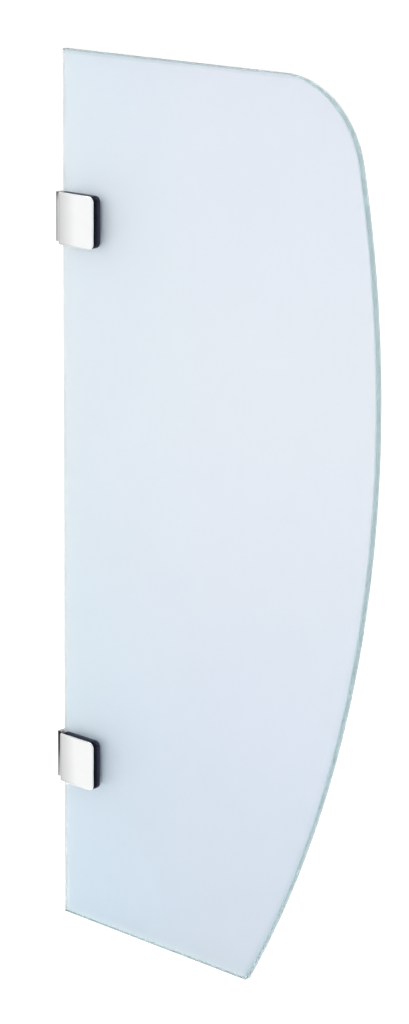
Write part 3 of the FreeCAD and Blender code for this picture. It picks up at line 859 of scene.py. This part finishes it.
def grey_cards():
    """Ring of upright glowing cards that only mirrors show, so that polished metal has something to reflect.

    Point (a, z) stands at angle a round the lower clamp's seat, on the ring's radius, at height z. Its tone
    runs through the stops, each an angle and a tone, as the angle rises.
    """
    angle, up = np.meshgrid(np.arange(360), CARD_HEIGHTS)
    turn = np.radians(angle)
    points = np.stack([CARD_RADIUS * np.cos(turn), CARD_RADIUS * np.sin(turn), up], axis=-1)
    card = new_piece("grey_cards", points, ring_faces(*angle.shape).tolist())
    tone = card.data.attributes.new("tone", "FLOAT", "POINT")
    tone.data.foreach_set("value", np.interp(angle, *zip(*CARD_TONES)).ravel())
    material = bpy.data.materials.new("grey_cards")
    material.use_nodes = True
    tree = material.node_tree
    tree.nodes.clear()
    reading = tree.nodes.new("ShaderNodeAttribute")
    reading.attribute_name = "tone"
    glow = tree.nodes.new("ShaderNodeEmission")
    tree.links.new(reading.outputs["Fac"], glow.inputs["Strength"])
    tree.links.new(glow.outputs["Emission"], tree.nodes.new("ShaderNodeOutputMaterial").inputs["Surface"])
    material.cycles.emission_sampling = "NONE"
    card.data.materials.append(material)
    for ray in ("camera", "diffuse", "transmission", "volume_scatter", "shadow"):
        setattr(card, f"visible_{ray}", False)


def white_world():
    """Even white all round: full white where it is seen, a little less as light."""
    world = bpy.data.worlds.new("white_world")
    bpy.context.scene.world = world
    world.use_nodes = True
    tree = world.node_tree
    background = tree.nodes["Background"]
    background.inputs["Color"].default_value = (1, 1, 1, 1)
    strength = share_of(tree, seen_directly(tree), 0.0, 1.0, WORLD_LIGHT, 1.0)
    tree.links.new(strength, background.inputs["Strength"])


def soft_lamp(name, place, aim, size, watts):
    """Square lamp that faces a point."""
    light = bpy.data.lights.new(name, "AREA")
    light.shape = "SQUARE"
    light.size = size
    light.energy = watts
    lamp = bpy.data.objects.new(name, light)
    bpy.context.scene.collection.objects.link(lamp)
    away = np.subtract(place, aim)
    turn = math.atan2(away[0], -away[1])
    tilt = math.atan2(math.hypot(away[0], away[1]), away[2])
    facing = Matrix.Rotation(turn, 4, "Z") @ Matrix.Rotation(tilt, 4, "X")
    lamp.matrix_world = Matrix.Translation(place) @ facing


def photo_camera():
    """Camera that stands where the photograph was taken from."""
    data = bpy.data.cameras.new("camera")
    data.lens = LENS_MM
    data.sensor_width = SENSOR_MM
    camera = bpy.data.objects.new("camera", data)
    bpy.context.scene.collection.objects.link(camera)
    turned = Matrix.Rotation(CAMERA_TURN, 4, "Z") @ Matrix.Rotation(math.pi / 2 - CAMERA_DOWN, 4, "X")
    camera.matrix_world = Matrix.Translation(CAMERA_PLACE) @ turned @ Matrix.Rotation(CAMERA_ROLL, 4, "Z")
    bpy.context.scene.camera = camera


finishes = {
    "polished_chrome": polished_chrome(),
    "black_coated_zinc": black_coated_zinc(),
    "brushed_steel": brushed_steel(),
    "screw_steel": screw_steel(),
    "black_rubber": black_rubber(),
    "milky_vinyl": milky_vinyl(),
    "clear_plastic": clear_plastic(),
}

glass_sheet()
for side in SIDES:
    front_cover(side)
    grip_pad(side, "front", f"{side}_jaw", "black_rubber")
    grip_pad(side, "rear", "panel", "milky_vinyl")
    eased_copy(f"{side}_front_jaw", f"{side}_jaw", "black_coated_zinc", JAW_EDGE, cut_shadow_gap)
    eased_copy(f"{side}_rear_jaw", "panel", "polished_chrome", JAW_EDGE)
    eased_copy(f"{side}_wall_block", "panel", "brushed_steel", BLOCK_EDGE)
    eased_copy(f"{side}_wall_gasket", "panel", "black_rubber", GASKET_EDGE)
    eased_copy(f"{side}_notch_liner", "panel", "clear_plastic", LINER_EDGE)
    for end in ("top", "bottom"):
        clamp_screw(side, end)

pale_floor()
grey_cards()
white_world()
soft_lamp("key", KEY_PLACE, KEY_AIM, KEY_SIZE, KEY_WATTS)
photo_camera()
bpy.context.scene.view_settings.view_transform = "Standard"
